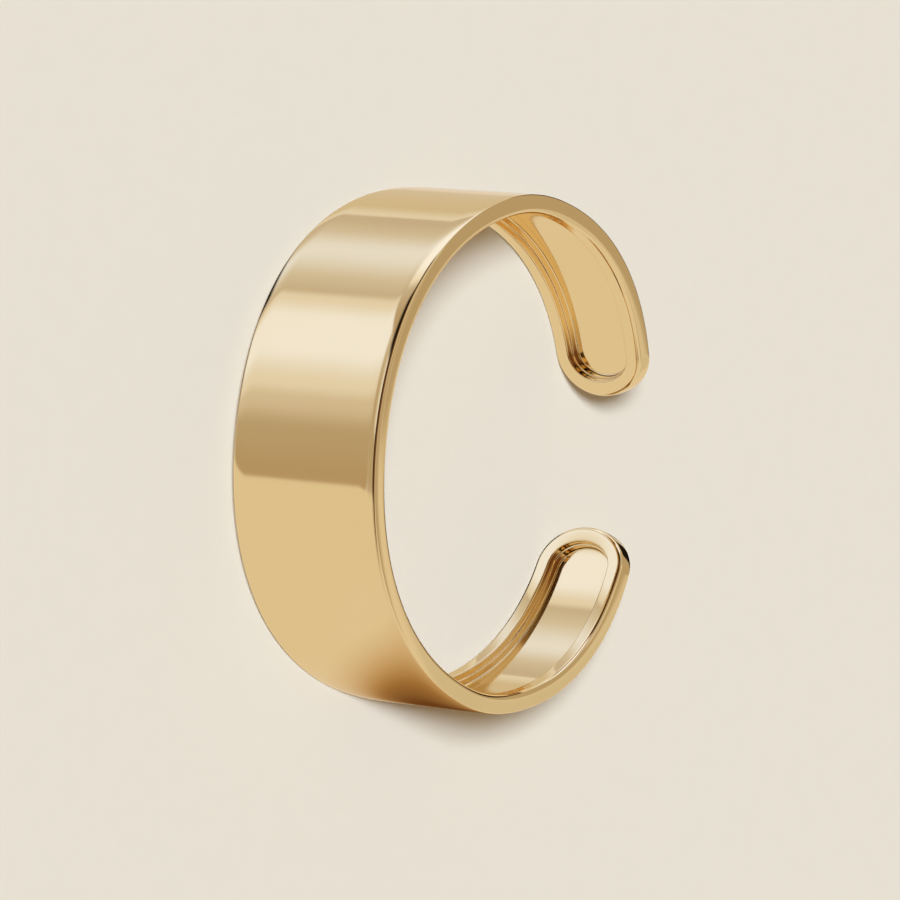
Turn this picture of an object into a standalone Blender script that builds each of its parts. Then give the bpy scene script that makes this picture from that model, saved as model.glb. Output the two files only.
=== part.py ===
"""Cuff bracelet: one polished band, bent round an open oval.

The band is made flat, as a strip that is wide in the middle and narrow at its two
rounded ends, with a stepped recess in its inner face. It is then bent round the oval
and laid on its side, tipped by the few degrees at which it rests on a table.
The gap faces +X, the oval is longest along +Y, and the table is at z = 0.
"""

import math

import bmesh
import bpy
import numpy as np
from mathutils import Matrix, Vector

MM = 0.001

# The oval that the outer face follows, seen along the wrist.
OVAL_HALF_DEPTH = 29.0 * MM  # from the middle to the back of the band
OVAL_HALF_HEIGHT = 31.0 * MM  # from the middle to either side of the wrist
EGG_SHARE = -0.008  # makes the back a little fuller than the mouth
SQUARE_SHARE = -0.014  # draws the oval in a little along both axes

# The band as a flat strip. Distances along it run from the middle of the back.
BACK_WIDTH = 21.6 * MM
BACK_NARROWING = 0.67 * MM  # lost from each edge by the start of the shoulder
SHOULDER_START = 36.9 * MM
SHOULDER_END = 59.7 * MM
ARM_WIDTH = 14.6 * MM  # where the shoulder ends
END_WIDTH = 12.9 * MM  # where the rounded end starts
END_START = 80.6 * MM
END_ROUNDNESS = 0.84  # length of the rounded end over half its width

# The section across the band, from the outer face round the edge into the recess.
RIM_THICKNESS = 2.31 * MM
FLOOR_THICKNESS = 0.82 * MM  # what is left under the recess
EDGE_ROLL = 2.2 * MM  # how far from the edge the outer face starts to roll off
EDGE_DROP = 0.30 * MM  # how far it has rolled off at the edge
OUTER_FILLET = 0.12 * MM
INNER_FILLET = 0.42 * MM
LIP_INSET = 2.0 * MM  # from the edge to the recess
LIP_FILLET = 0.14 * MM
WALL_DRAFT = 0.06 * MM
LEDGE_DEPTH = 0.72 * MM  # below the rim face
LEDGE_WIDTH = 0.27 * MM
FLOOR_FILLET = 0.24 * MM

# How finely the faceted solid is cut.
ROWS_ALONG = 96
COLUMNS_ACROSS = 12
END_ROWS = 6  # rows at each end that turn from straight to rounded
OVAL_STEPS = 4000

GOLD = (0.90, 0.70, 0.38, 1.0)


def clear_scene():
    """Remove everything the scene starts with."""
    for item in list(bpy.data.objects):
        bpy.data.objects.remove(item, do_unlink=True)


def oval_table():
    """Distance along the outer face against point and outward normal, for one half."""
    angle = np.linspace(math.pi, 0.0, OVAL_STEPS)
    radius = 1.0 / np.hypot(
        np.cos(angle) / OVAL_HALF_DEPTH, np.sin(angle) / OVAL_HALF_HEIGHT
    )
    swell = EGG_SHARE * np.cos(3 * angle) + SQUARE_SHARE * np.cos(4 * angle)
    radius = radius * (1.0 + swell)
    x = radius * np.cos(angle)
    y = radius * np.sin(angle)
    step = np.hypot(np.diff(x), np.diff(y))
    along = np.concatenate([[0.0], np.cumsum(step)])
    tangent_x = np.gradient(x, along)
    tangent_y = np.gradient(y, along)
    length = np.hypot(tangent_x, tangent_y)
    return along, x, y, -tangent_y / length, tangent_x / length


def half_width(along):
    """Half the width of the strip at a distance from the middle of the back."""
    along = min(abs(along), END_START)
    share = (along - SHOULDER_START) / (SHOULDER_END - SHOULDER_START)
    share = min(max(share, 0.0), 1.0)
    turn = share * share * (3.0 - 2.0 * share)
    back = BACK_WIDTH / 2 - BACK_NARROWING * (along / SHOULDER_START) ** 4
    run = (along - SHOULDER_END) / (END_START - SHOULDER_END)
    run = min(max(run, -1.0), 1.0)
    arm = ARM_WIDTH / 2 + (END_WIDTH - ARM_WIDTH) / 2 * run
    return back * (1.0 - turn) + arm * turn


def strip_point(row_share, column_share, inset):
    """Point of the flat strip whose outline is drawn in by inset.

    Both shares run from -1 to 1. The rows near each end turn from straight lines
    into the rounded outline of the end.
    """
    side = math.copysign(1.0, row_share)
    end_zone = 2.0 * END_ROWS / ROWS_ALONG
    straight_share = 1.0 - end_zone
    straight_length = END_START * (1.0 - 1.1 * end_zone)
    across = math.sin(column_share * math.pi / 2)
    bulge = math.cos(column_share * math.pi / 2)
    end_length = END_ROUNDNESS * END_WIDTH / 2 - inset
    if abs(row_share) <= straight_share:
        along = straight_length * abs(row_share) / straight_share
    else:
        turned = (abs(row_share) - straight_share) / end_zone
        reach = END_START + end_length * bulge
        along = straight_length + (reach - straight_length) * turned
    return side * along, (half_width(along) - inset) * across


def section_steps():
    """Inset and depth of each edge loop, from the outer face round to the recess."""
    bend = 1.0 - math.sqrt(0.5)
    steps = []
    for share in (0.62, 0.3, 0.05):
        steps.append((EDGE_ROLL * share, EDGE_DROP * (1.0 - share) ** 2.2))
    steps.append((0.0, EDGE_DROP + OUTER_FILLET))
    steps.append((0.0, RIM_THICKNESS - INNER_FILLET * 1.3))
    steps.append((INNER_FILLET * bend, RIM_THICKNESS - INNER_FILLET * bend))
    steps.append((INNER_FILLET, RIM_THICKNESS))
    steps.append((LIP_INSET - LIP_FILLET, RIM_THICKNESS))
    steps.append((LIP_INSET, RIM_THICKNESS - LIP_FILLET))
    inset = LIP_INSET + WALL_DRAFT
    depth = RIM_THICKNESS - LEDGE_DEPTH
    steps.append((inset, depth))
    inset = inset + LEDGE_WIDTH
    steps.append((inset, depth - LIP_FILLET / 4))
    inset = inset + WALL_DRAFT
    steps.append((inset, FLOOR_THICKNESS + FLOOR_FILLET))
    steps.append((inset + FLOOR_FILLET * bend, FLOOR_THICKNESS + FLOOR_FILLET * bend))
    steps.append((inset + FLOOR_FILLET, FLOOR_THICKNESS))
    return steps


def build_flat_band():
    """The closed band before it is bent: x along it, y across it, z the depth."""
    band = bmesh.new()
    row = band.verts.layers.float.new("row_share")
    column = band.verts.layers.float.new("column_share")
    bmesh.ops.create_grid(
        band, x_segments=ROWS_ALONG, y_segments=COLUMNS_ACROSS, size=1.0
    )
    for vertex in band.verts:
        vertex[row] = vertex.co.x
        vertex[column] = vertex.co.y

    def place(vertices, inset, depth):
        for vertex in vertices:
            along, across = strip_point(vertex[row], vertex[column], inset)
            vertex.co = (along, across, depth)

    place(band.verts, EDGE_ROLL, 0.0)
    outer_faces = list(band.faces)
    loop = [edge for edge in band.edges if edge.is_boundary]
    floor = bmesh.ops.duplicate(band, geom=outer_faces)["geom"]
    floor_faces = [item for item in floor if isinstance(item, bmesh.types.BMFace)]
    floor_vertices = [item for item in floor if isinstance(item, bmesh.types.BMVert)]
    steps = section_steps()
    place(floor_vertices, *steps[-1])
    bmesh.ops.reverse_faces(band, faces=floor_faces)
    for inset, depth in steps:
        made = bmesh.ops.extrude_edge_only(band, edges=loop)["geom"]
        loop = [item for item in made if isinstance(item, bmesh.types.BMEdge)]
        vertices = [item for item in made if isinstance(item, bmesh.types.BMVert)]
        place(vertices, inset, depth)
    bmesh.ops.remove_doubles(band, verts=band.verts, dist=0.001 * MM)
    bmesh.ops.recalc_face_normals(band, faces=band.faces)
    return band


def bend_round_oval(band):
    """Wrap the flat band round the oval, outer face outwards."""
    along, x, y, normal_x, normal_y = oval_table()
    for vertex in band.verts:
        run, across, depth = vertex.co
        side = math.copysign(1.0, run)
        run = abs(run)
        outward = Vector(
            (
                np.interp(run, along, normal_x),
                side * np.interp(run, along, normal_y),
                0.0,
            )
        )
        outside = Vector(
            (np.interp(run, along, x), side * np.interp(run, along, y), across)
        )
        vertex.co = outside - depth * outward
    if band.calc_volume(signed=True) < 0.0:
        bmesh.ops.reverse_faces(band, faces=band.faces)


def centre_of_mass(band):
    """Centre of the closed body, from the tetrahedra that its triangles make."""
    volume = 0.0
    moment = Vector((0.0, 0.0, 0.0))
    for loops in band.calc_loop_triangles():
        a, b, c = (loop.vert.co for loop in loops)
        part = a.dot(b.cross(c)) / 6.0
        volume += part
        moment += part * (a + b + c) / 4.0
    return moment / volume


def resting_tilt(band):
    """Angle between the table and the band's lower edge, which the band tips by.

    The table touches the edge at the shoulders and near the ends, on both sides of
    the centre of mass.
    """
    middle = centre_of_mass(band).x
    points = sorted({(round(v.co.x, 7), round(v.co.z, 7)) for v in band.verts})
    hull = []
    for point in points:
        while len(hull) > 1:
            (x0, z0), (x1, z1) = hull[-2], hull[-1]
            if (x1 - x0) * (point[1] - z0) - (z1 - z0) * (point[0] - x0) > 0.0:
                break
            hull.pop()
        hull.append(point)
    for (x0, z0), (x1, z1) in zip(hull, hull[1:]):
        if x0 <= middle <= x1:
            return math.atan2(z1 - z0, x1 - x0)
    return 0.0


def lay_on_table(band):
    """Tip the band to its rest, then put the middle of its box's foot at the origin."""
    tilt = resting_tilt(band)
    bmesh.ops.rotate(band, verts=band.verts, matrix=Matrix.Rotation(tilt, 3, "Y"))
    low = Vector([min(v.co[axis] for v in band.verts) for axis in range(3)])
    high = Vector([max(v.co[axis] for v in band.verts) for axis in range(3)])
    foot = Vector(((low.x + high.x) / 2, (low.y + high.y) / 2, low.z))
    bmesh.ops.translate(band, verts=band.verts, vec=-foot)
    return tilt, foot


def gold_material():
    """Polished yellow gold plating."""
    material = bpy.data.materials.new("polished_gold")
    material.use_nodes = True
    shader = material.node_tree.nodes["Principled BSDF"]
    shader.inputs["Base Color"].default_value = GOLD
    shader.inputs["Metallic"].default_value = 1.0
    shader.inputs["Roughness"].default_value = 0.08
    return material


def main():
    """Build the band and put it in the object's own collection."""
    clear_scene()
    band = build_flat_band()
    bend_round_oval(band)
    tilt, foot = lay_on_table(band)
    print(f"tilt {math.degrees(tilt):.3f} degrees, foot {tuple(foot)}")
    mesh = bpy.data.meshes.new("cuff_band")
    band.to_mesh(mesh)
    band.free()
    for face in mesh.polygons:
        face.use_smooth = True
    mesh.materials.append(gold_material())
    cuff = bpy.data.objects.new("cuff_band", mesh)
    group = bpy.data.collections.new("cuff_bracelet")
    bpy.context.scene.collection.children.link(group)
    group.objects.link(cuff)


main()
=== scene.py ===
"""Looks of the gold cuff bracelet: the finely modelled band, its polish and the studio.

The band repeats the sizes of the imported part, with finer rows and rounder edges, and
stands in for its faceted solid. Lengths are in metres. Positions are first worked out
in the band's own frame, with x towards the gap, y across the wrist and z along the
wrist, and then turned by the few degrees at which the cuff lies on the table.
"""

import logging
import math
from dataclasses import dataclass, field
from enum import Enum

import bmesh
import bpy
import numpy as np
from mathutils import Matrix, Vector

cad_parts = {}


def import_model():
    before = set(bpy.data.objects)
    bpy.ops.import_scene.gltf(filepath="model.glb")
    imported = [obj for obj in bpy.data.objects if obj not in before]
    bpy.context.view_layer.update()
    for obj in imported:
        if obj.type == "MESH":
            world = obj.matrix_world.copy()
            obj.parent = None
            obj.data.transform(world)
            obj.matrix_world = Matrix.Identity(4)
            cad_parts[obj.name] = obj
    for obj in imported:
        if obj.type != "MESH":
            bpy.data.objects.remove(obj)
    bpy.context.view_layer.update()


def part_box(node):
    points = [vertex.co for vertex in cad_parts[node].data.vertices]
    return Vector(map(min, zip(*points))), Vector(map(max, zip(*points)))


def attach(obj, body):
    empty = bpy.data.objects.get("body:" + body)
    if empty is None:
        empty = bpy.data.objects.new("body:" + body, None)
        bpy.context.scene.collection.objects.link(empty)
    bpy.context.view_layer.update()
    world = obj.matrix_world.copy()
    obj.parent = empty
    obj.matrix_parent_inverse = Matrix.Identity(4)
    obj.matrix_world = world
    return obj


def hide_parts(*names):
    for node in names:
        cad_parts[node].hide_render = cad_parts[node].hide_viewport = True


MM = 0.001
LOG = logging.getLogger("cuff")

Colour = tuple[float, float, float]
Loops = list[tuple[float, float]]
Socket = bpy.types.NodeSocket | float
Paint = bpy.types.NodeSocket | Colour

# The Mix node's colour sockets, which share their names with its other sockets.
MIX_UNDER = 6
MIX_OVER = 7
MIX_RESULT = 2

HALF_TURN = 180.0  # degrees


def smooth_step(share: float) -> float:
    """Ease a share, held between 0 and 1, out of one end and into the other."""
    share = min(max(share, 0.0), 1.0)
    return share * share * (3.0 - 2.0 * share)


def quarter_turn(loops: int) -> np.ndarray:
    """Angles of the loops that round a square corner."""
    return np.linspace(0.0, math.pi / 2, loops)


class Edge(Enum):
    """How far, in degrees, the rim of a studio panel fades."""

    CRISP = 1.2
    THIN = 3.0
    MILD = 7.0
    SOFT = 24.0


@dataclass(frozen=True)
class Light:
    """Named light colours of the studio, as the polished metal sees them."""

    white: Colour = (0.98, 1.11, 1.56)
    pearl: Colour = (0.85, 0.87, 0.98)
    beige: Colour = (0.81, 0.75, 0.67)
    linen: Colour = (0.71, 0.68, 0.68)
    greige: Colour = (0.62, 0.58, 0.57)
    taupe: Colour = (0.53, 0.45, 0.36)
    sand: Colour = (0.70, 0.65, 0.57)
    bronze: Colour = (0.50, 0.40, 0.29)
    olive: Colour = (0.52, 0.435, 0.33)
    amber: Colour = (0.62, 0.45, 0.26)
    toffee: Colour = (0.46, 0.265, 0.10)
    umber: Colour = (0.17, 0.08, 0.04)
    cocoa: Colour = (0.15, 0.055, 0.014)
    black: Colour = (0.012, 0.009, 0.007)


LIGHT = Light()


@dataclass
class CuffBand:
    """The bracelet itself: one band, bent round an open oval, with a stepped recess."""

    name: str = "cuff_band_polished"
    half_depth: float = 29.0 * MM
    half_height: float = 31.0 * MM
    egg_share: float = -0.008
    square_share: float = -0.014
    back_width: float = 21.6 * MM
    back_narrowing: float = 0.67 * MM
    narrowing_power: int = 4
    shoulder_start: float = 36.9 * MM
    shoulder_end: float = 59.7 * MM
    arm_width: float = 14.6 * MM
    end_width: float = 12.9 * MM
    end_start: float = 80.6 * MM
    end_roundness: float = 0.84
    rim_thickness: float = 2.31 * MM
    floor_thickness: float = 0.82 * MM
    edge_roll: float = 2.2 * MM
    edge_drop: float = 0.30 * MM
    roll_power: float = 2.2
    roll_start_share: float = 0.9  # of edge_roll, where the first loop of the roll lies
    roll_loops: int = 9
    roll_end: float = 0.36 * MM  # from the edge, where the outer fillet takes over
    fillet_loops: int = 12
    arm_roll_share: float = 0.15  # of the back's roll, left on the arms
    roll_full_until: float = 18.0 * MM
    roll_least_from: float = 42.0 * MM
    lift_fade: tuple[float, float] = (0.7 * MM, 1.7 * MM)  # depths
    inner_fillet: float = 0.58 * MM
    inner_loops: int = 13
    wall_bulge: float = 0.10 * MM
    wall_share: float = 0.5  # of the rim's thickness, that the side wall takes up
    wall_rows: tuple[float, ...] = (0.14, 0.28, 0.42, 0.57, 0.72, 0.86)
    rim_crown: float = 0.012 * MM
    crown_rows: tuple[float, ...] = (0.2, 0.4, 0.6, 0.8)
    lip_inset: float = 2.0 * MM
    lip_fillet: float = 0.20 * MM
    lip_loops: int = 7
    wall_draft: float = 0.06 * MM
    ledge_depth: float = 0.72 * MM
    ledge_width: float = 0.27 * MM
    ledge_fillet: float = 0.07 * MM
    ledge_loops: tuple[int, int] = (3, 5)
    floor_fillet: float = 0.24 * MM
    floor_loops: int = 8
    rows: int = 320
    columns: int = 40
    end_share: float = 0.125  # of the rows, that turn from straight to rounded
    end_lead: float = 1.1  # of end_share, by which those rows start before the end
    merge_within: float = 0.001 * MM
    oval_steps: int = 4000
    resting_tilt: float = math.radians(5.973)
    placement: Matrix = field(default_factory=lambda: Matrix.Identity(4))

    def oval_table(self) -> tuple[np.ndarray, ...]:
        """Work out the oval that the outer face follows, for one half.

        Returns:
            Distance along the face, x, y, and the outward normal's x and y.
        """
        angle = np.linspace(math.pi, 0.0, self.oval_steps)
        radius = 1.0 / np.hypot(
            np.cos(angle) / self.half_depth, np.sin(angle) / self.half_height
        )
        swell = self.egg_share * np.cos(3 * angle)
        swell = swell + self.square_share * np.cos(4 * angle)
        radius = radius * (1.0 + swell)
        x = radius * np.cos(angle)
        y = radius * np.sin(angle)
        step = np.hypot(np.diff(x), np.diff(y))
        along = np.concatenate([[0.0], np.cumsum(step)])
        tangent_x = np.gradient(x, along)
        tangent_y = np.gradient(y, along)
        length = np.hypot(tangent_x, tangent_y)
        return along, x, y, -tangent_y / length, tangent_x / length

    def half_width(self, along: float) -> float:
        """Half the width of the flat strip.

        Args:
            along: Distance from the middle of the back.

        Returns:
            Distance from the strip's middle line to its edge.
        """
        along = min(abs(along), self.end_start)
        shoulder = self.shoulder_end - self.shoulder_start
        turn = smooth_step((along - self.shoulder_start) / shoulder)
        narrowing = (along / self.shoulder_start) ** self.narrowing_power
        back = self.back_width / 2 - self.back_narrowing * narrowing
        run = (along - self.shoulder_end) / (self.end_start - self.shoulder_end)
        run = min(max(run, -1.0), 1.0)
        arm = self.arm_width / 2 + (self.end_width - self.arm_width) / 2 * run
        return back * (1.0 - turn) + arm * turn

    def strip_point(
        self, row: float, column: float, inset: float
    ) -> tuple[float, float]:
        """Point of the flat strip whose outline is drawn in by inset.

        Args:
            row: Place along the strip, from -1 to 1.
            column: Place across the strip, from -1 to 1.
            inset: How far the outline is drawn in.

        Returns:
            Distance along the strip and distance across it.
        """
        straight_share = 1.0 - self.end_share
        straight_length = self.end_start * (1.0 - self.end_lead * self.end_share)
        across = math.sin(column * math.pi / 2)
        bulge = math.cos(column * math.pi / 2)
        end_length = self.end_roundness * self.end_width / 2 - inset
        if abs(row) <= straight_share:
            along = straight_length * abs(row) / straight_share
        else:
            turned = (abs(row) - straight_share) / self.end_share
            reach = self.end_start + end_length * bulge
            along = straight_length + (reach - straight_length) * turned
        return math.copysign(along, row), (self.half_width(along) - inset) * across

    def outer_edge(self) -> Loops:
        """Roll the outer face off towards its edge, then round the edge.

        Returns:
            Inset and depth of each loop.
        """
        steps = []
        last = self.roll_end / self.edge_roll
        for share in np.linspace(self.roll_start_share, last, self.roll_loops):
            drop = self.edge_drop * (1.0 - share) ** self.roll_power
            steps.append((self.edge_roll * share, drop))
        inset, depth = steps[-1]
        slope = self.edge_drop * self.roll_power / self.edge_roll
        slope = slope * (1.0 - last) ** (self.roll_power - 1.0)
        start = math.atan(1.0 / slope)
        finish = self.wall_lean()
        radius = (inset - self.wall_bulge) / (math.cos(finish) - math.cos(start))
        rim = self.wall_bulge + radius * math.cos(finish)
        centre = depth + radius * math.sin(start)
        for turn in np.linspace(start, finish, self.fillet_loops)[1:]:
            inset = rim - radius * math.cos(turn)
            steps.append((inset, centre - radius * math.sin(turn)))
        return steps

    def arm_lift(self, along: float, inset: float, depth: float) -> float:
        """How much less than at the back the outer edge rolls off at a point.

        Args:
            along: Distance from the middle of the back.
            inset: How far the point's loop is drawn in.
            depth: Depth of the loop at the back.

        Returns:
            Distance by which the point is moved outwards.
        """
        if inset >= self.lip_inset:
            return 0.0
        reach = self.roll_least_from - self.roll_full_until
        turn = smooth_step((abs(along) - self.roll_full_until) / reach)
        start, finish = self.lift_fade
        fade = min(max((finish - depth) / (finish - start), 0.0), 1.0)
        lost = turn * (1.0 - self.arm_roll_share)
        return lost * min(depth, self.edge_drop) * fade

    def wall_lean(self) -> float:
        """Angle by which the side edge leans where it meets the outer fillet."""
        return math.atan(2.0 * self.wall_bulge / (self.wall_share * self.rim_thickness))

    def side_wall(self, top: float, bottom: float) -> Loops:
        """Inset and depth of the loops of the slightly crowned side edge.

        Args:
            top: Depth at which the wall starts.
            bottom: Depth at which the wall ends.

        Returns:
            One pair for each loop between the two.
        """
        steps = []
        for share in self.wall_rows:
            depth = top + share * (bottom - top)
            steps.append((self.wall_bulge * (1.0 - share) ** 2, depth))
        return steps

    def rim(self) -> Loops:
        """Round the inner fillet, crown the rim face and round its lip.

        Returns:
            Inset and depth of each loop.
        """
        steps = []
        face = self.rim_thickness
        radius = self.inner_fillet
        for turn in quarter_turn(self.inner_loops):
            inset = radius * (1.0 - math.cos(turn))
            steps.append((inset, face - radius * (1.0 - math.sin(turn))))
        start = steps[-1][0]
        finish = self.lip_inset - self.lip_fillet
        for share in self.crown_rows:
            crown = self.rim_crown * (1.0 - (2.0 * share - 1.0) ** 2)
            steps.append((start + (finish - start) * share, face + crown))
        radius = self.lip_fillet
        for turn in quarter_turn(self.lip_loops):
            inset = finish + radius * math.sin(turn)
            steps.append((inset, face - radius * (1.0 - math.cos(turn))))
        return steps

    def recess(self) -> Loops:
        """Step down the two walls and the ledge between them to the floor.

        Returns:
            Inset and depth of each loop.
        """
        inset = self.lip_inset + self.wall_draft
        depth = self.rim_thickness - self.ledge_depth
        middle = depth + self.ledge_depth / 2
        steps = [(self.lip_inset + self.wall_draft / 2, middle)]
        radius = self.ledge_fillet
        foot_loops, lip_loops = self.ledge_loops
        for turn in quarter_turn(foot_loops):
            drawn_in = inset + radius * (1.0 - math.cos(turn))
            steps.append((drawn_in, depth + radius * (1.0 - math.sin(turn))))
        inset = inset + self.ledge_width
        for turn in quarter_turn(lip_loops):
            drawn_in = inset - radius * (1.0 - math.sin(turn))
            steps.append((drawn_in, depth - radius * (1.0 - math.cos(turn))))
        inset = inset + self.wall_draft
        radius = self.floor_fillet
        foot = self.floor_thickness + radius
        steps.append((inset - self.wall_draft / 2, (depth + foot) / 2))
        for turn in quarter_turn(self.floor_loops):
            drawn_in = inset + radius * (1.0 - math.cos(turn))
            steps.append((drawn_in, foot - radius * math.sin(turn)))
        return steps

    def section(self) -> Loops:
        """Go across the section, from the outer face round to the floor.

        Returns:
            Inset and depth of each loop.
        """
        outer = self.outer_edge()
        rim = self.rim()
        wall = self.side_wall(outer[-1][1], rim[0][1])
        return outer + wall + rim + self.recess()

    def place(
        self,
        band: bmesh.types.BMesh,
        vertices: list[bmesh.types.BMVert],
        inset: float,
        depth: float,
    ) -> None:
        """Move vertices to their place on the strip at one inset and depth.

        Args:
            band: The flat band, whose layers say where on the strip they belong.
            vertices: The vertices to move.
            inset: How far their loop is drawn in.
            depth: How far under the outer face their loop lies at the back.
        """
        row = band.verts.layers.float["row_share"]
        column = band.verts.layers.float["column_share"]
        for vertex in vertices:
            along, across = self.strip_point(vertex[row], vertex[column], inset)
            lift = self.arm_lift(along, inset, depth)
            vertex.co = (along, across, depth - lift)

    def flat_band(self) -> bmesh.types.BMesh:
        """Build the closed band before it is bent.

        Returns:
            The band, with x along it, y across it and z the depth.
        """
        band = bmesh.new()
        band.verts.layers.float.new("row_share")
        band.verts.layers.float.new("column_share")
        row = band.verts.layers.float["row_share"]
        column = band.verts.layers.float["column_share"]
        bmesh.ops.create_grid(
            band, x_segments=self.rows, y_segments=self.columns, size=1.0
        )
        for vertex in band.verts:
            vertex[row] = vertex.co.x
            vertex[column] = vertex.co.y
        self.place(band, list(band.verts), self.edge_roll, 0.0)
        loop = [edge for edge in band.edges if edge.is_boundary]
        copied = bmesh.ops.duplicate(band, geom=list(band.faces))["geom"]
        floor_faces = [item for item in copied if isinstance(item, bmesh.types.BMFace)]
        floor_points = [item for item in copied if isinstance(item, bmesh.types.BMVert)]
        steps = self.section()
        self.place(band, floor_points, *steps[-1])
        bmesh.ops.reverse_faces(band, faces=floor_faces)
        for inset, depth in steps:
            made = bmesh.ops.extrude_edge_only(band, edges=loop)["geom"]
            loop = [item for item in made if isinstance(item, bmesh.types.BMEdge)]
            points = [item for item in made if isinstance(item, bmesh.types.BMVert)]
            self.place(band, points, inset, depth)
        bmesh.ops.remove_doubles(band, verts=band.verts, dist=self.merge_within)
        bmesh.ops.recalc_face_normals(band, faces=band.faces)
        return band

    def bend_round_oval(self, band: bmesh.types.BMesh) -> None:
        """Wrap the flat band round the oval, outer face outwards.

        Args:
            band: The flat band, which is changed in place.
        """
        along, x, y, normal_x, normal_y = self.oval_table()
        points = np.array([vertex.co for vertex in band.verts])
        side = np.sign(points[:, 0])
        run = np.abs(points[:, 0])
        outward_x = np.interp(run, along, normal_x)
        outward_y = np.interp(run, along, normal_y) * side
        bent_x = np.interp(run, along, x) - points[:, 2] * outward_x
        bent_y = np.interp(run, along, y) * side - points[:, 2] * outward_y
        for vertex, *bent in zip(band.verts, bent_x, bent_y, points[:, 1]):
            vertex.co = bent
        if band.calc_volume(signed=True) < 0.0:
            bmesh.ops.reverse_faces(band, faces=band.faces)

    def lay_on_table(self, band: bmesh.types.BMesh) -> None:
        """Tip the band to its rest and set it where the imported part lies.

        Args:
            band: The bent band, which is changed in place.
        """
        turn = Matrix.Rotation(self.resting_tilt, 4, "Y")
        bmesh.ops.transform(band, matrix=turn, verts=band.verts)
        low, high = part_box("cuff_band")
        xs = [vertex.co.x for vertex in band.verts]
        ys = [vertex.co.y for vertex in band.verts]
        zs = [vertex.co.z for vertex in band.verts]
        shift = Vector(
            (
                (low.x + high.x - min(xs) - max(xs)) / 2,
                (low.y + high.y - min(ys) - max(ys)) / 2,
                low.z - min(zs),
            )
        )
        bmesh.ops.translate(band, verts=band.verts, vec=shift)
        self.placement = Matrix.Translation(shift) @ turn

    def build(self) -> bpy.types.Object:
        """Model the band and put it in the scene.

        Returns:
            The finished piece.
        """
        band = self.flat_band()
        self.bend_round_oval(band)
        self.lay_on_table(band)
        mesh = bpy.data.meshes.new(self.name)
        band.to_mesh(mesh)
        band.free()
        mesh.polygons.foreach_set("use_smooth", [True] * len(mesh.polygons))
        piece = bpy.data.objects.new(self.name, mesh)
        bpy.context.scene.collection.objects.link(piece)
        return piece

    def dress(self, piece: bpy.types.Object, gold: "PolishedGold") -> None:
        """Give the band its finish and its place in the part.

        Args:
            piece: The band that build made.
            gold: The finish it wears.
        """
        piece.data.materials.append(gold.material())
        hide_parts("cuff_band")
        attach(piece, "root")


class NodeBench:
    """A node tree with short ways to add nodes and join them."""

    def __init__(self, tree: bpy.types.NodeTree) -> None:
        """Take over an existing tree, as it is."""
        self.tree = tree

    def add(self, kind: str, **settings: object) -> bpy.types.Node:
        """Add a node.

        Args:
            kind: The node's type name.
            settings: Attributes to set on it.

        Returns:
            The new node.
        """
        node = self.tree.nodes.new(kind)
        for name, value in settings.items():
            setattr(node, name, value)
        return node

    def sockets(self, in_out: str, *names: str) -> None:
        """Give a node group its number sockets.

        Args:
            in_out: INPUT or OUTPUT.
            names: The sockets' names, in order.
        """
        for name in names:
            self.tree.interface.new_socket(
                name=name, in_out=in_out, socket_type="NodeSocketFloat"
            )

    def feed(self, socket: bpy.types.NodeSocket, value: Socket | Paint) -> None:
        """Join a socket to another, or set it to a plain number or colour.

        Args:
            socket: The input to feed.
            value: An output socket, a number or three numbers.
        """
        if isinstance(value, bpy.types.NodeSocket):
            self.tree.links.new(value, socket)
        elif isinstance(value, tuple):
            socket.default_value = (*value, 1.0)
        else:
            socket.default_value = value

    def math(self, operation: str, *values: Socket) -> bpy.types.NodeSocket:
        """Add a Math node.

        Args:
            operation: The node's operation.
            values: Its inputs, in order.

        Returns:
            Its result.
        """
        node = self.add("ShaderNodeMath", operation=operation)
        for socket, value in zip(node.inputs, values):
            self.feed(socket, value)
        return node.outputs[0]

    def blend(self, share: Socket, under: Paint, over: Paint) -> bpy.types.NodeSocket:
        """Lay one colour over another.

        Args:
            share: How much of the upper colour shows.
            under: The lower colour.
            over: The upper colour.

        Returns:
            The mixed colour.
        """
        node = self.add("ShaderNodeMix", data_type="RGBA", clamp_result=False)
        self.feed(node.inputs["Factor"], share)
        self.feed(node.inputs[MIX_UNDER], under)
        self.feed(node.inputs[MIX_OVER], over)
        return node.outputs[MIX_RESULT]

    def layer(
        self, share: Socket, under: bpy.types.Node, over: bpy.types.Node
    ) -> bpy.types.Node:
        """Lay one shader over another.

        Args:
            share: How much of the upper shader shows.
            under: The node of the lower shader.
            over: The node of the upper shader.

        Returns:
            The node that mixes them.
        """
        node = self.add("ShaderNodeMixShader")
        self.feed(node.inputs[0], share)
        self.feed(node.inputs[1], under.outputs[0])
        self.feed(node.inputs[2], over.outputs[0])
        return node

    def noise(
        self, place: Socket, scale: Socket, detail: float
    ) -> bpy.types.NodeSocket:
        """Add a Noise Texture.

        Args:
            place: Where the noise is looked up.
            scale: How fine it is.
            detail: How many finer layers it has.

        Returns:
            Its value, from 0 to 1.
        """
        node = self.add("ShaderNodeTexNoise", noise_dimensions="3D")
        self.feed(node.inputs["Vector"], place)
        self.feed(node.inputs["Scale"], scale)
        self.feed(node.inputs["Detail"], detail)
        return node.outputs["Fac"]

    def ease(self, value: Socket, start: float, finish: float) -> bpy.types.NodeSocket:
        """Smooth step from 0 to 1.

        Args:
            value: What is measured.
            start: Where the step leaves 0.
            finish: Where it reaches 1.

        Returns:
            The eased share.
        """
        node = self.add("ShaderNodeMapRange", interpolation_type="SMOOTHSTEP")
        self.feed(node.inputs["Value"], value)
        node.inputs["From Min"].default_value = start
        node.inputs["From Max"].default_value = finish
        return node.outputs["Result"]


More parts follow.
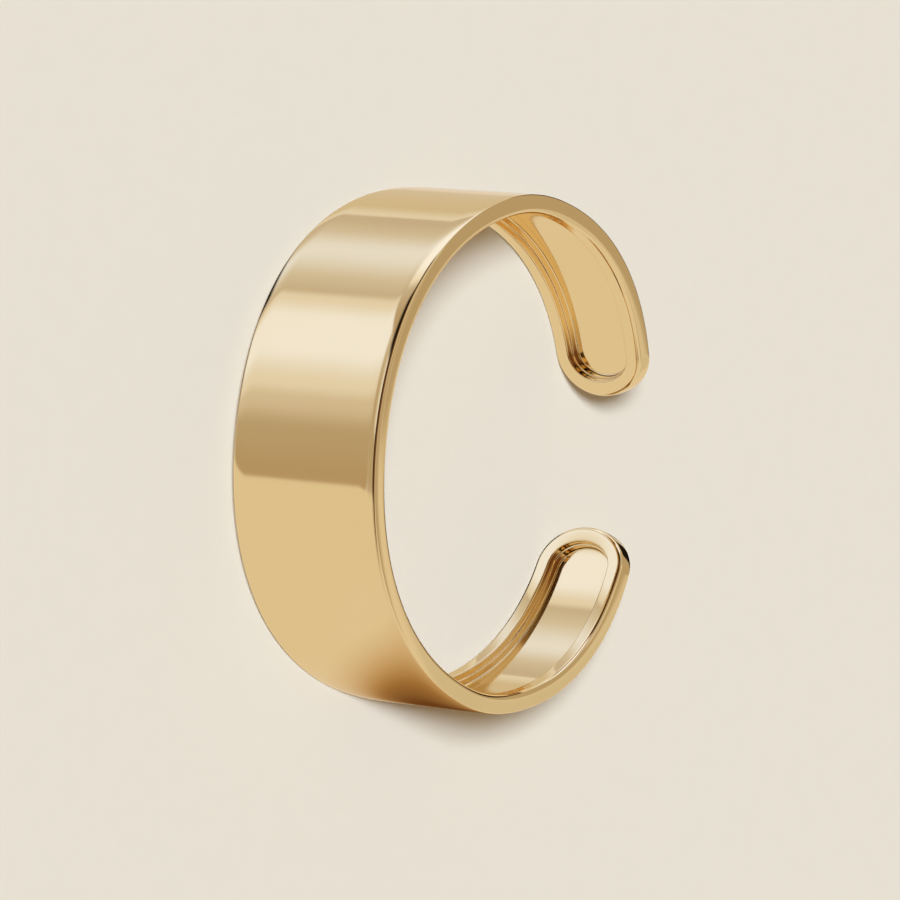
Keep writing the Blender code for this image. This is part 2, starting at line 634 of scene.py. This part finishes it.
@dataclass(frozen=True)
class FinePolish:
    """Shared effect of hand polish: faint tone drift, fine hairlines and a ripple."""

    drift_detail: float = 3.0
    hairline_detail: float = 2.0
    hairline_stretch: tuple[float, float, float] = (1.0, 1.0, 0.06)
    hairline_cut: tuple[float, float] = (0.5, 0.75)
    ripple_detail: float = 1.0

    def group(self) -> bpy.types.NodeTree:
        """Build the effect as a node group.

        Returns:
            The node group, with its tone, hairlines and ripple as outputs.
        """
        group = bpy.data.node_groups.new("fine_polish", "ShaderNodeTree")
        bench = NodeBench(group)
        bench.sockets("INPUT", "Drift Scale", "Hairline Scale", "Ripple Scale")
        bench.sockets("OUTPUT", "Drift", "Hairlines", "Ripple")
        entry = bench.add("NodeGroupInput").outputs
        leave = bench.add("NodeGroupOutput").inputs
        place = bench.add("ShaderNodeTexCoord").outputs["Object"]
        drift = bench.noise(place, entry["Drift Scale"], self.drift_detail)
        bench.feed(leave["Drift"], drift)
        stretch = bench.add("ShaderNodeMapping", vector_type="POINT")
        stretch.inputs["Scale"].default_value = self.hairline_stretch
        bench.feed(stretch.inputs["Vector"], place)
        hair = bench.noise(
            stretch.outputs["Vector"], entry["Hairline Scale"], self.hairline_detail
        )
        bench.feed(leave["Hairlines"], bench.ease(hair, *self.hairline_cut))
        ripple = bench.noise(place, entry["Ripple Scale"], self.ripple_detail)
        bench.feed(leave["Ripple"], ripple)
        return group


@dataclass(frozen=True)
class PolishedGold:
    """Mirror polished yellow gold plating."""

    deep: Colour = (0.885, 0.680, 0.355)
    pale: Colour = (0.915, 0.722, 0.405)
    grazing: Colour = (0.99, 0.93, 0.82)
    smoothest: float = 0.045
    dullest: float = 0.105
    ripple_depth: float = 0.004 * MM
    drift_scale: float = 90.0
    hairline_scale: float = 2600.0
    ripple_scale: float = 170.0
    drift_share: float = 0.7  # of the roughness that varies
    hairline_share: float = 0.3

    def material(self) -> bpy.types.Material:
        """Build the finish, with its polish marks in roughness, tone and bump.

        Returns:
            The material.
        """
        material = bpy.data.materials.new("polished_gold_plating")
        material.use_nodes = True
        bench = NodeBench(material.node_tree)
        shader = material.node_tree.nodes["Principled BSDF"]
        polish = bench.add("ShaderNodeGroup", node_tree=FinePolish().group())
        polish.inputs["Drift Scale"].default_value = self.drift_scale
        polish.inputs["Hairline Scale"].default_value = self.hairline_scale
        polish.inputs["Ripple Scale"].default_value = self.ripple_scale
        tone = bench.blend(polish.outputs["Drift"], self.deep, self.pale)
        bench.feed(shader.inputs["Base Color"], tone)
        span = self.dullest - self.smoothest
        worn = bench.math("MULTIPLY", polish.outputs["Drift"], span * self.drift_share)
        lines = polish.outputs["Hairlines"]
        lines = bench.math("MULTIPLY_ADD", lines, span * self.hairline_share, worn)
        rough = bench.math("ADD", lines, self.smoothest)
        bench.feed(shader.inputs["Roughness"], rough)
        shader.inputs["Metallic"].default_value = 1.0
        bench.feed(shader.inputs["Specular Tint"], self.grazing)
        bump = bench.add("ShaderNodeBump")
        bump.inputs["Strength"].default_value = 1.0
        bump.inputs["Distance"].default_value = self.ripple_depth
        bench.feed(bump.inputs["Height"], polish.outputs["Ripple"])
        bench.feed(shader.inputs["Normal"], bump.outputs["Normal"])
        return material


@dataclass(frozen=True)
class PaleTable:
    """Matt, warm off-white table top."""

    tone: Colour = (0.80, 0.755, 0.67)
    speck: Colour = (0.815, 0.77, 0.687)
    grain_scale: float = 320.0
    grain_detail: float = 2.0
    roughness: float = 0.85
    specular: float = 0.2

    def material(self) -> bpy.types.Material:
        """Build the finish, with a barely visible paper grain.

        Returns:
            The material.
        """
        material = bpy.data.materials.new("pale_table")
        material.use_nodes = True
        bench = NodeBench(material.node_tree)
        shader = material.node_tree.nodes["Principled BSDF"]
        place = bench.add("ShaderNodeTexCoord").outputs["Object"]
        grain = bench.noise(place, self.grain_scale, self.grain_detail)
        tone = bench.blend(grain, self.tone, self.speck)
        bench.feed(shader.inputs["Base Color"], tone)
        shader.inputs["Roughness"].default_value = self.roughness
        shader.inputs["Specular IOR Level"].default_value = self.specular
        return material


@dataclass(frozen=True)
class Panel:
    """One lit or dark panel of the studio, placed by direction seen from the cuff.

    Directions are in degrees, in the band's own frame: azimuth from +x towards +y,
    elevation up to +z. The tones run from the panel's first azimuth to its last, at the
    given shares of its width.
    """

    name: str
    azimuth: tuple[float, float]
    elevation: tuple[float, float]
    tones: tuple[tuple[float, Colour], ...]
    edge: Edge = Edge.CRISP
    corner: float = 5.0
    strength: float = 1.0


def panel_mask_group() -> bpy.types.NodeTree:
    """Shared shape of the studio's panels: a rounded rectangle of directions.

    Returns:
        The node group, which puts out the mask and the place across the panel.
    """
    group = bpy.data.node_groups.new("panel_mask", "ShaderNodeTree")
    bench = NodeBench(group)
    bench.sockets("INPUT", "Azimuth", "Middle Azimuth", "Half Azimuth")
    bench.sockets("INPUT", "Elevation", "Middle Elevation", "Half Elevation")
    bench.sockets("INPUT", "Corner", "Fade")
    bench.sockets("OUTPUT", "Mask", "Across")
    entry = bench.add("NodeGroupInput").outputs
    leave = bench.add("NodeGroupOutput").inputs
    turn = bench.math("SUBTRACT", entry["Azimuth"], entry["Middle Azimuth"])
    turn = bench.math("WRAP", turn, HALF_TURN, -HALF_TURN)
    rise = bench.math("SUBTRACT", entry["Elevation"], entry["Middle Elevation"])
    excess = []
    for offset, half in ((turn, "Half Azimuth"), (rise, "Half Elevation")):
        beyond = bench.math("SUBTRACT", bench.math("ABSOLUTE", offset), entry[half])
        excess.append(bench.math("ADD", beyond, entry["Corner"]))
    outer = [bench.math("MAXIMUM", value, 0.0) for value in excess]
    square = bench.math("MULTIPLY", outer[0], outer[0])
    square = bench.math("MULTIPLY_ADD", outer[1], outer[1], square)
    inner = bench.math("MINIMUM", bench.math("MAXIMUM", *excess), 0.0)
    away = bench.math("ADD", bench.math("SQRT", square), inner)
    away = bench.math("SUBTRACT", away, entry["Corner"])
    share = bench.math("ADD", bench.math("DIVIDE", away, entry["Fade"]), 0.5)
    hidden = bench.ease(share, 0.0, 1.0)
    bench.feed(leave["Mask"], bench.math("SUBTRACT", 1.0, hidden))
    width = bench.math("MULTIPLY", entry["Half Azimuth"], 2.0)
    across = bench.math("ADD", bench.math("DIVIDE", turn, width), 0.5)
    bench.feed(leave["Across"], across)
    return group


def plain(tone: Colour) -> tuple[tuple[float, Colour], ...]:
    """Tones of a panel that is the same from side to side."""
    return (0.0, tone), (1.0, tone)


def studio_panels() -> list[Panel]:
    """List the studio's panels.

    Returns:
        The panels, from the ones furthest back to the ones in front.
    """
    return [
        Panel(
            "upper_room",
            azimuth=(61.0, 196.0),
            elevation=(-95.0, 95.0),
            tones=plain(LIGHT.greige),
        ),
        Panel(
            "top_band",
            azimuth=(22.0, 61.0),
            elevation=(-60.0, -20.0),
            tones=((0.0, LIGHT.sand), (0.7, LIGHT.sand), (1.0, LIGHT.pearl)),
            corner=2.0,
        ),
        Panel(
            "overhead_glow",
            azimuth=(75.0, 112.0),
            elevation=(-85.0, 5.0),
            tones=((0.0, LIGHT.pearl), (0.45, LIGHT.white), (1.0, LIGHT.pearl)),
            edge=Edge.SOFT,
            strength=0.9,
        ),
        Panel(
            "soft_box",
            azimuth=(118.5, 196.0),
            elevation=(-66.0, -23.0),
            tones=(
                (0.0, LIGHT.greige),
                (0.06, LIGHT.pearl),
                (0.2, LIGHT.white),
                (0.38, LIGHT.white),
                (0.56, LIGHT.pearl),
                (0.64, LIGHT.linen),
                (0.78, LIGHT.taupe),
                (1.0, LIGHT.bronze),
            ),
            corner=6.5,
        ),
        Panel(
            "zenith",
            azimuth=(-179.9, 179.9),
            elevation=(58.0, 95.0),
            tones=plain(LIGHT.beige),
            edge=Edge.MILD,
            corner=0.0,
        ),
        Panel(
            "nadir",
            azimuth=(30.0, 200.0),
            elevation=(-95.0, -74.0),
            tones=plain(LIGHT.umber),
            edge=Edge.MILD,
            corner=0.0,
        ),
        Panel(
            "far_shade",
            azimuth=(14.0, 114.0),
            elevation=(-80.0, -57.0),
            tones=plain(LIGHT.black),
            edge=Edge.MILD,
        ),
        Panel(
            "far_edge",
            azimuth=(1.5, 26.0),
            elevation=(-66.0, -47.0),
            tones=plain(LIGHT.black),
            edge=Edge.THIN,
            corner=1.0,
        ),
        Panel(
            "over_wall",
            azimuth=(-40.0, 38.0),
            elevation=(52.0, 84.0),
            tones=plain(LIGHT.taupe),
            edge=Edge.MILD,
        ),
        Panel(
            "edge_strip",
            azimuth=(136.0, 196.0),
            elevation=(-23.0, -6.0),
            tones=((0.0, LIGHT.linen), (0.5, LIGHT.taupe), (1.0, LIGHT.taupe)),
            edge=Edge.MILD,
        ),
        Panel(
            "corner_gap",
            azimuth=(90.0, 146.0),
            elevation=(-34.0, 22.0),
            tones=(
                (0.0, LIGHT.greige),
                (0.5, LIGHT.greige),
                (0.8, LIGHT.taupe),
                (1.0, LIGHT.taupe),
            ),
            edge=Edge.THIN,
            corner=28.0,
        ),
        Panel(
            "edge_gleam",
            azimuth=(140.0, 178.0),
            elevation=(-16.0, -4.0),
            tones=((0.0, LIGHT.linen), (0.6, LIGHT.pearl), (1.0, LIGHT.pearl)),
            edge=Edge.MILD,
        ),
        Panel(
            "bright_card",
            azimuth=(48.0, 117.0),
            elevation=(-31.0, 24.0),
            tones=(
                (0.0, LIGHT.sand),
                (0.45, LIGHT.white),
                (0.8, LIGHT.white),
                (1.0, LIGHT.pearl),
            ),
            edge=Edge.MILD,
            strength=1.1,
        ),
        Panel(
            "rim_shade",
            azimuth=(0.5, 12.0),
            elevation=(-36.0, -16.0),
            tones=plain(LIGHT.black),
            corner=1.0,
        ),
        Panel(
            "dark_flag",
            azimuth=(1.5, 46.0),
            elevation=(-20.0, 10.0),
            tones=((0.0, LIGHT.black), (0.5, LIGHT.black), (1.0, LIGHT.umber)),
            edge=Edge.THIN,
            corner=1.0,
        ),
        Panel(
            "dim_wall",
            azimuth=(0.0, 62.0),
            elevation=(8.0, 52.0),
            tones=plain(LIGHT.olive),
            edge=Edge.THIN,
            corner=3.0,
        ),
        Panel(
            "lower_wall",
            azimuth=(-45.0, -1.0),
            elevation=(12.0, 41.0),
            tones=plain(LIGHT.sand),
            edge=Edge.MILD,
        ),
        Panel(
            "low_shade",
            azimuth=(199.0, 255.0),
            elevation=(-8.0, 24.0),
            tones=((0.0, LIGHT.taupe), (1.0, LIGHT.beige)),
            edge=Edge.MILD,
        ),
        Panel(
            "camera_side",
            azimuth=(101.0, 199.0),
            elevation=(-2.0, 44.0),
            tones=((0.0, LIGHT.umber), (0.12, LIGHT.black), (1.0, LIGHT.black)),
            edge=Edge.MILD,
            corner=8.0,
        ),
        Panel(
            "camera_top",
            azimuth=(99.0, 226.0),
            elevation=(30.0, 87.0),
            tones=(
                (0.0, LIGHT.bronze),
                (0.12, LIGHT.bronze),
                (0.31, LIGHT.umber),
                (1.0, LIGHT.umber),
            ),
            edge=Edge.SOFT,
            corner=8.0,
        ),
        Panel(
            "camera_arm",
            azimuth=(120.0, 152.0),
            elevation=(-17.0, 6.0),
            tones=((0.0, LIGHT.umber), (0.2, LIGHT.black), (1.0, LIGHT.black)),
            edge=Edge.MILD,
            corner=8.0,
        ),
    ]


@dataclass
class Studio:
    """Plain table, soft sun, and the panels and the card of painted shade that the
    metal reflects.
    """

    table_half: float = 1.6
    table_cells: int = 8
    backdrop: Colour = (0.80, 0.755, 0.67)
    fill_strength: float = 0.3
    fill_tone: Colour = (1.0, 0.72, 0.42)
    key_strength: float = 3.21
    key_softness: float = math.radians(12.0)
    key_tone: Colour = (0.906, 1.0, 1.084)
    key_place: tuple[float, float, float] = (-0.637, 0.14, 0.758)
    # Place, size, slant and tones of the glowing card of painted shade, which stands in
    # for the shadowed table mirrored in the lower side.
    card_middle: tuple[float, float, float] = (13.0 * MM, -33.0 * MM, -9.0 * MM)
    card_half: tuple[float, float] = (50.0 * MM, 14.5 * MM)
    card_slant: float = math.radians(26.0)
    card_toffee: tuple[float, float] = (0.18, 0.64)  # shares of the way to its rim
    card_amber: tuple[float, float] = (0.42, 0.8)
    card_clear: tuple[float, float] = (0.45, 1.0)
    panels: list[Panel] = field(default_factory=studio_panels)

    def table(self) -> bpy.types.Object:
        """Build the table top, which the metal doesn't mirror.

        Returns:
            The table top.
        """
        sheet = bmesh.new()
        cells = self.table_cells
        bmesh.ops.create_grid(
            sheet, x_segments=cells, y_segments=cells, size=self.table_half
        )
        mesh = bpy.data.meshes.new("table_top")
        sheet.to_mesh(mesh)
        sheet.free()
        mesh.materials.append(PaleTable().material())
        top = bpy.data.objects.new("table_top", mesh)
        bpy.context.scene.collection.objects.link(top)
        top.visible_glossy = False
        return top

    def world(self, placement: Matrix) -> None:
        """Light the scene plainly, and let glossy rays see the panels.

        Args:
            placement: How the band's own frame lies in the scene.
        """
        world = bpy.data.worlds.new("studio")
        world.use_nodes = True
        bpy.context.scene.world = world
        bench = NodeBench(world.node_tree)
        world.node_tree.nodes.clear()
        direction = bench.add("ShaderNodeTexCoord").outputs["Generated"]
        turned = bench.add("ShaderNodeMapping", vector_type="POINT")
        back = placement.to_3x3().inverted().to_euler("XYZ")
        turned.inputs["Rotation"].default_value = back
        bench.feed(turned.inputs["Vector"], direction)
        parts = bench.add("ShaderNodeSeparateXYZ")
        bench.feed(parts.inputs["Vector"], turned.outputs["Vector"])
        azimuth = bench.math("ARCTAN2", parts.outputs["Y"], parts.outputs["X"])
        azimuth = bench.math("DEGREES", azimuth)
        elevation = bench.math("DEGREES", bench.math("ARCSINE", parts.outputs["Z"]))
        shape = panel_mask_group()
        colour: Paint = LIGHT.beige
        for panel in self.panels:
            colour = self.lay_panel(bench, shape, panel, colour, azimuth, elevation)
        mirrored = bench.add("ShaderNodeBackground")
        bench.feed(mirrored.inputs["Color"], colour)
        shown = bench.add("ShaderNodeBackground")
        bench.feed(shown.inputs["Color"], self.backdrop)
        fill = bench.add("ShaderNodeBackground")
        bench.feed(fill.inputs["Color"], self.fill_tone)
        bench.feed(fill.inputs["Strength"], self.fill_strength)
        rays = bench.add("ShaderNodeLightPath").outputs
        seen = bench.layer(rays["Is Camera Ray"], fill, shown)
        chosen = bench.layer(rays["Is Glossy Ray"], seen, mirrored)
        leave = bench.add("ShaderNodeOutputWorld")
        bench.feed(leave.inputs["Surface"], chosen.outputs[0])

    def lay_panel(
        self,
        bench: NodeBench,
        shape: bpy.types.NodeTree,
        panel: Panel,
        under: Paint,
        azimuth: bpy.types.NodeSocket,
        elevation: bpy.types.NodeSocket,
    ) -> bpy.types.NodeSocket:
        """Add one panel over the panels behind it.

        Args:
            bench: The world's node tree.
            shape: The node group of the panels' shape.
            panel: The panel to add.
            under: The colour behind it.
            azimuth: Azimuth of the direction looked at.
            elevation: Elevation of the direction looked at.

        Returns:
            The colour with the panel on it.
        """
        mask = bench.add("ShaderNodeGroup", node_tree=shape, label=panel.name)
        low, high = panel.azimuth
        foot, head = panel.elevation
        settings = {
            "Azimuth": azimuth,
            "Middle Azimuth": (low + high) / 2,
            "Half Azimuth": (high - low) / 2,
            "Elevation": elevation,
            "Middle Elevation": (foot + head) / 2,
            "Half Elevation": (head - foot) / 2,
            "Corner": panel.corner,
            "Fade": panel.edge.value,
        }
        for name, value in settings.items():
            bench.feed(mask.inputs[name], value)
        ramp = bench.add("ShaderNodeValToRGB")
        ramp.color_ramp.interpolation = "EASE"
        stops = ramp.color_ramp.elements
        halfway = 0.5
        while len(stops) < len(panel.tones):
            stops.new(halfway)
        for stop, (place, tone) in zip(stops, panel.tones):
            stop.position = place
            stop.color = (*(part * panel.strength for part in tone), 1.0)
        bench.feed(ramp.inputs["Fac"], mask.outputs["Across"])
        return bench.blend(mask.outputs["Mask"], under, ramp.outputs["Color"])

    def shade_reflection_card(self, placement: Matrix) -> bpy.types.Object:
        """Hang the glowing card that darkens the lower side with a painted reflection
        of shade, seen by the metal alone.

        Args:
            placement: How the band's own frame lies in the scene.

        Returns:
            The card.
        """
        sheet = bmesh.new()
        sheet.loops.layers.uv.new("card")
        stand = Matrix.Rotation(math.pi / 2, 4, "X")
        bmesh.ops.create_grid(
            sheet, x_segments=1, y_segments=1, size=1.0, matrix=stand, calc_uvs=True
        )
        long_half, short_half = self.card_half
        bmesh.ops.scale(sheet, verts=sheet.verts, vec=(long_half, 1.0, short_half))
        slant = Matrix.Rotation(self.card_slant, 4, "Y")
        bmesh.ops.transform(sheet, matrix=slant, verts=sheet.verts)
        bmesh.ops.translate(sheet, verts=sheet.verts, vec=self.card_middle)
        bmesh.ops.transform(sheet, matrix=placement, verts=sheet.verts)
        mesh = bpy.data.meshes.new("painted_shade_card")
        sheet.to_mesh(mesh)
        sheet.free()
        mesh.materials.append(self.shade_card_material())
        card = bpy.data.objects.new("painted_shade_card", mesh)
        bpy.context.scene.collection.objects.link(card)
        for unseen in ("camera", "diffuse", "transmission", "volume_scatter", "shadow"):
            setattr(card, f"visible_{unseen}", False)
        return card

    def shade_card_material(self) -> bpy.types.Material:
        """Build the card's glowing finish of painted shade: brown in the middle, clear
        towards its rim.

        Returns:
            The material.
        """
        material = bpy.data.materials.new("painted_shade_card")
        material.use_nodes = True
        material.node_tree.nodes.clear()
        bench = NodeBench(material.node_tree)
        place = bench.add("ShaderNodeUVMap", uv_map="card").outputs["UV"]
        parts = bench.add("ShaderNodeSeparateXYZ")
        bench.feed(parts.inputs["Vector"], place)
        squares = []
        for axis in ("X", "Y"):
            offset = bench.math("MULTIPLY_ADD", parts.outputs[axis], 2.0, -1.0)
            squares.append(bench.math("MULTIPLY", offset, offset))
        away = bench.math("SQRT", bench.math("ADD", *squares))
        toffee = bench.ease(away, *self.card_toffee)
        amber = bench.ease(away, *self.card_amber)
        tone = bench.blend(toffee, LIGHT.cocoa, LIGHT.toffee)
        tone = bench.blend(amber, tone, LIGHT.amber)
        # The glow is painted shade: darkest brown in the middle, fading to clear
        # towards the rim.
        glow = bench.add("ShaderNodeEmission")
        bench.feed(glow.inputs["Color"], tone)
        clear = bench.add("ShaderNodeBsdfTransparent")
        mixed = bench.layer(bench.ease(away, *self.card_clear), glow, clear)
        leave = bench.add("ShaderNodeOutputMaterial")
        bench.feed(leave.inputs["Surface"], mixed.outputs[0])
        return material

    def key_light(self) -> bpy.types.Object:
        """Set up the soft sun that casts the shadow on the table.

        Returns:
            The light.
        """
        lamp = bpy.data.lights.new("soft_key", "SUN")
        lamp.angle = self.key_softness
        lamp.energy = self.key_strength
        lamp.color = self.key_tone
        holder = bpy.data.objects.new("soft_key", lamp)
        holder.location = self.key_place
        aim = -Vector(self.key_place)
        holder.rotation_euler = aim.to_track_quat("-Z", "Y").to_euler()
        holder.visible_glossy = False
        bpy.context.scene.collection.objects.link(holder)
        return holder

    def build(self, placement: Matrix) -> list[bpy.types.Object]:
        """Set up the whole studio.

        Args:
            placement: How the band's own frame lies in the scene.

        Returns:
            The table, the card of painted shade and the light.
        """
        self.world(placement)
        scene = bpy.context.scene
        scene.view_settings.view_transform = "Standard"
        scene.view_settings.look = "None"
        return [self.table(), self.shade_reflection_card(placement), self.key_light()]


@dataclass(frozen=True)
class Viewpoint:
    """Camera at the photograph's angle to the band."""

    distance: float = 900.0 * MM
    turn: float = math.radians(50.82)
    roll: float = math.radians(-5.28)
    aside: float = 1.322 * MM
    above: float = 0.094 * MM
    magnification: float = 8.492
    sensor: float = 36.0
    picture_width: float = 900.0
    clip: tuple[float, float] = (0.05, 20.0)

    def build(self, placement: Matrix) -> bpy.types.Object:
        """Put the camera in the scene and make it the scene's own.

        Args:
            placement: How the band's own frame lies in the scene.

        Returns:
            The camera.
        """
        lens = bpy.data.cameras.new("camera")
        lens.sensor_fit = "HORIZONTAL"
        lens.sensor_width = self.sensor
        focal = self.magnification * self.distance / MM
        lens.lens = focal / self.picture_width * self.sensor
        lens.clip_start, lens.clip_end = self.clip
        camera = bpy.data.objects.new("camera", lens)
        looks = Matrix.Rotation(self.roll, 3, "Z") @ Matrix.Rotation(self.turn, 3, "Y")
        to_band = looks.transposed()
        centre = to_band @ Vector((-self.aside, -self.above, self.distance))
        own = Matrix.Translation(centre) @ to_band.to_4x4()
        camera.matrix_world = placement @ own
        bpy.context.scene.collection.objects.link(camera)
        bpy.context.scene.camera = camera
        return camera


def main() -> None:
    """Build the band, the studio and the camera in order, and report each."""
    logging.basicConfig(level=logging.INFO, format="%(name)s: %(message)s")
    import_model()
    cuff = CuffBand()
    band = cuff.build()
    cuff.dress(band, PolishedGold())
    LOG.info("%s: %d faces", band.name, len(band.data.polygons))
    for item in Studio().build(cuff.placement):
        LOG.info("%s is in the studio", item.name)
    camera = Viewpoint().build(cuff.placement)
    LOG.info("%s: lens %.1f mm", camera.name, camera.data.lens)


if __name__ == "__main__":
    main()
